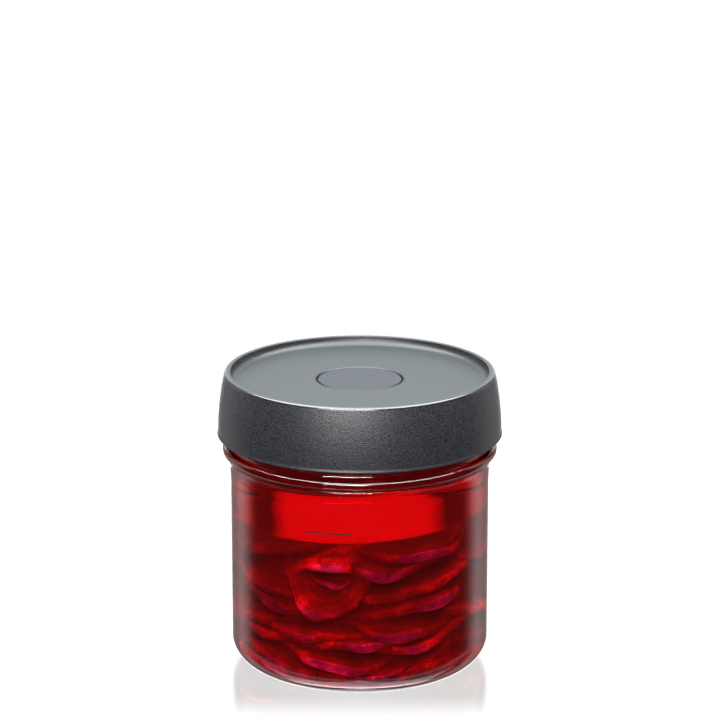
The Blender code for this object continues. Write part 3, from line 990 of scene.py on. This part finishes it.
def beetroot():
    mat, tree, out = new_material("Fermented beetroot, wet")
    share = add(tree, "ShaderNodeAttribute", attribute_name="share")
    tone_and_painted_light = add(tree, "ShaderNodeAttribute", attribute_name="tone_and_painted_light")
    place = add(tree, "ShaderNodeTexCoord")
    blotch = add(tree, "ShaderNodeTexNoise", [(place.outputs["Object"], "Vector")],
                 Scale=1 / (BLOTCH_MM * MM), Detail=4.0, Roughness=0.6)
    fibre = add(tree, "ShaderNodeTexNoise", [(place.outputs["Object"], "Vector")],
                Scale=1 / (FIBRE_MM * MM), Detail=3.0)
    rings = add(tree, "ShaderNodeMath", [(share.outputs["Fac"], 0)], operation="MULTIPLY")
    rings.inputs[1].default_value = ROOT_RINGS
    fray = add(tree, "ShaderNodeTexNoise", [(place.outputs["Object"], "Vector")],
               Scale=1 / (FRAY_MM * MM), Detail=3.0, Roughness=0.65)
    # The rim is painted paler where the noise is high: frayed skin and painted highlight
    frayed_and_painted_highlight = add(tree, "ShaderNodeMapRange", [(fray.outputs[0], "Value")],
                 From_Min=0.4, From_Max=0.65, To_Min=FRAY_PALE_AND_HIGHLIGHT[0], To_Max=FRAY_PALE_AND_HIGHLIGHT[1])
    ring = add(tree, "ShaderNodeMath", [(rings.outputs[0], 0)], operation="SINE")
    rim = add(tree, "ShaderNodeMapRange", [(share.outputs["Fac"], "Value")],
              interpolation_type="SMOOTHSTEP", From_Min=RIM_STARTS, From_Max=1.0)
    patch = add(tree, "ShaderNodeMapRange", [(blotch.outputs[0], "Value")],
                From_Min=0.3, From_Max=0.7, To_Min=BLOTCH_PALE[0], To_Max=BLOTCH_PALE[1])
    ringed = add(tree, "ShaderNodeMath", [(ring.outputs[0], 0), (patch.outputs[0], 2)],
                 operation="MULTIPLY_ADD")
    ringed.inputs[1].default_value = RING_PALE
    shade = add(tree, "ShaderNodeMath", [
        (rim.outputs[0], 0), (frayed_and_painted_highlight.outputs[0], 1), (ringed.outputs[0], 2)],
        operation="MULTIPLY_ADD")
    level = add(tree, "ShaderNodeMath", [(shade.outputs[0], 0), (tone_and_painted_light.outputs["Fac"], 1)],
                operation="ADD")
    fibrous = add(tree, "ShaderNodeMapRange", [(fibre.outputs[0], "Value")],
                  From_Min=0.3, From_Max=0.7, To_Min=-FIBRE_PALE, To_Max=FIBRE_PALE)
    fine_level = add(tree, "ShaderNodeMath", [(level.outputs[0], 0), (fibrous.outputs[0], 1)],
                     operation="ADD")
    colour = add(tree, "ShaderNodeValToRGB", [(fine_level.outputs[0], 0)])
    ramp = colour.color_ramp
    ramp.elements[0].position = 0.25
    ramp.elements[0].color = linear("#30000f")
    ramp.elements[1].position = 1.0
    ramp.elements[1].color = linear("#a8305a")
    middle = ramp.elements.new(0.6)
    middle.color = linear("#560338")
    bump = add(tree, "ShaderNodeBump", [(fibre.outputs[0], "Height")],
               Strength=0.6, Distance=0.15 * MM)
    shader = add(tree, "ShaderNodeBsdfPrincipled", [
        (colour.outputs[0], "Base Color"), (bump.outputs[0], "Normal")],
        Roughness=0.3, IOR=BEET_IN_BRINE_IOR, Subsurface_Weight=0.8, Subsurface_Scale=9 * MM)
    shader.inputs["Subsurface Radius"].default_value = (1.0, 0.2, 0.15)
    tree.links.new(shader.outputs[0], out.inputs["Surface"])
    return mat


beet = beetroot()
print("beetroot has", len(beet.node_tree.nodes), "nodes")

# %% [markdown]
# ## The pile
#
# In the jar the slices are loose, and in the part they are one heap on a plain core, which
# only shows as darkness between them: the core is painted darker, as painted shade in the
# gaps. Copies of one slice would look alike, so each is made on its own and all are joined
# into one mesh. Two numbers at each point go to the material: how near the rim it is, and
# how pale its slice is. Slices from different roots differ, and beyond that some slices are
# painted darker, as painted shade, and the curled one in front paler, as painted light.

# %% The pile of slices
# How much paler or darker than the rest, by the slice's place in the list. Part of it is the
# tone of different roots, and part is painted light: the two slices right under the weight,
# the small one in the hollow under the curl and the four on the left are painted darker, as
# painted shade, and the curled one in front is painted paler, as painted light.
SLICE_TONE_AND_PAINTED_LIGHT = {0: -0.08, 1: -0.1, 6: 0.27, 7: -0.1, 8: 0.05, 12: 0.06, 13: 0.06,
         16: -0.12, 17: -0.12, 18: -0.12, 19: -0.1}
# The core is painted this much darker than the slices, as painted shade between them
CORE_PAINTED_SHADE = -0.4
CORE_SIDES = 48


def joined(name, parts, finish, attributes):
    """One mesh from several (points, faces), with a number at each point."""
    points = np.concatenate([p for p, _ in parts])
    faces = []
    start = 0
    for p, f in parts:
        faces += [tuple(v + start for v in face) for face in f]
        start += len(p)
    mesh = bpy.data.meshes.new(name)
    mesh.from_pydata(points.tolist(), [], faces)
    mesh.shade_smooth()
    mesh.materials.append(finish)
    for label, values in attributes.items():
        layer = mesh.attributes.new(label, "FLOAT", "POINT")
        layer.data.foreach_set("value", np.concatenate(values).astype(np.float32))
    return link_object(name, mesh)


def slice_pile():
    draw = random.Random(DRAW + 1)
    parts, shares, slice_tones_and_painted_light = [], [], []
    for number, row in enumerate(rows):
        points, faces, share = one_slice(number, row)
        parts.append((points, faces))
        shares.append(share)
        # Each slice's tone, with painted shade and painted light added for some slices
        slice_tones_and_painted_light.append(np.full(len(points), draw.uniform(-0.1, 0.1) + SLICE_TONE_AND_PAINTED_LIGHT.get(number, 0.0)))
    pile = joined("slice_pile", parts, beet, {"share": shares, "tone_and_painted_light": slice_tones_and_painted_light})
    print("slices:", len(pile.data.polygons), "faces")
    return pile


pile = slice_pile()
core_low = FLOOR_Z + HEAP_CLEAR
core = turned("pile_core", [
    (0.0, CORE_TOP), (CORE_R * 0.8, CORE_TOP - 2 * MM), (CORE_R, CORE_TOP - 8 * MM),
    (CORE_R, core_low + 4 * MM), (CORE_R - 4 * MM, core_low), (0.0, core_low)],
    beet, CORE_SIDES)
# The core's colour is painted darker, as painted shade in the gaps
core_painted_shade = core.data.attributes.new("tone_and_painted_light", "FLOAT", "POINT")
core_painted_shade.data.foreach_set(
    "value", np.full(len(core.data.vertices), CORE_PAINTED_SHADE, dtype=np.float32))

# %% [markdown]
# ## The brine
#
# The brine is juice from the beetroot, and so red that a few millimetres take out almost all
# green and blue. That is absorption, which grows with the depth of juice, so thin layers look
# pink-red and deep ones almost black. A tinted surface would be as red in a thin layer as in
# a deep one. Fermenting also makes the brine a little cloudy, so some light scatters on the
# way and softens the dark gaps. The piece reaches a little into the glass of the jar, so
# that no film of air shows between them, and it has a hollow where the weight lies.

# %% Brine
BRINE_TOP = 95.0 * MM
BRINE_IOR = 1.34
TAKES_PER_METRE = 1300.0
LETS_THROUGH = (0.979, 0.14, 0.27, 1.0)  # share of red, green and blue that it spares
CLOUD_PER_METRE = 26.0
CLOUD_COLOUR = (0.85, 0.03, 0.05, 1.0)
CLOUD_FORWARD = 0.3


def brine_material():
    mat, tree, out = new_material("Beetroot brine")
    liquid = add(tree, "ShaderNodeBsdfPrincipled", Base_Color=linear("#ffffff"),
                 Roughness=0.0, IOR=BRINE_IOR, Transmission_Weight=1.0)
    lets_light_in(tree, out, liquid, linear("#ffffff"))
    absorbed = add(tree, "ShaderNodeVolumeAbsorption", Color=LETS_THROUGH,
                   Density=TAKES_PER_METRE)
    cloud = add(tree, "ShaderNodeVolumeScatter", Color=CLOUD_COLOUR,
                Density=CLOUD_PER_METRE, Anisotropy=CLOUD_FORWARD)
    both = add(tree, "ShaderNodeAddShader", [(absorbed.outputs[0], 0), (cloud.outputs[0], 1)])
    tree.links.new(both.outputs[0], out.inputs["Volume"])
    return mat


def brine_outline():
    wall = INNER_R + OVERLAP
    low = FLOOR_Z - OVERLAP
    points = [(0.0, BRINE_TOP), (wall, BRINE_TOP)]
    points += arc(INNER_R - INNER_HEEL_R, FLOOR_Z + INNER_HEEL_R,
                  INNER_HEEL_R + OVERLAP, 0, -90, 16)
    points += [(0.0, low)]
    return points


def hollowed(ob, hollow):
    """Adds a closed shape to a piece as a hollow, with its faces turned into the hollow."""
    bm = bmesh.new()
    bm.from_mesh(ob.data)
    first = len(bm.faces)
    bm.from_mesh(hollow.data)
    bm.faces.ensure_lookup_table()
    bmesh.ops.reverse_faces(bm, faces=bm.faces[first:])
    bm.to_mesh(ob.data)
    bm.free()
    bpy.data.objects.remove(hollow, do_unlink=True)


juice = brine_material()
brine = turned("brine", brine_outline(), juice)
weight_room = turned("weight_room", weight_outline(OVERLAP), juice)
weight_room.data.transform(weight_place)
hollowed(brine, weight_room)

# %% [markdown]
# ## Everything rides on the one body
#
# Nothing on this part moves, so each piece rides on the single body and hides the imported
# solid that it stands for. The table also gives its finish slot. The brine and the level line
# stand for no imported solid, so they only ride.

# %% Hand over
DRESSED = (
    (jar, "glass_jar", "jar_glass"),
    (lid, "lid", "lid_plastic"),
    (button, "valve_button", "button_silicone"),
    (weight, "glass_weight", "weight_glass"),
    (pile, "beet_slices", "beetroot"),
    (core, "beet_slices", "beetroot"),
)
for piece, node, slot in DRESSED:
    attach(piece, "root")
    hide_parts(node)
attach(brine, "root")
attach(line, "root")
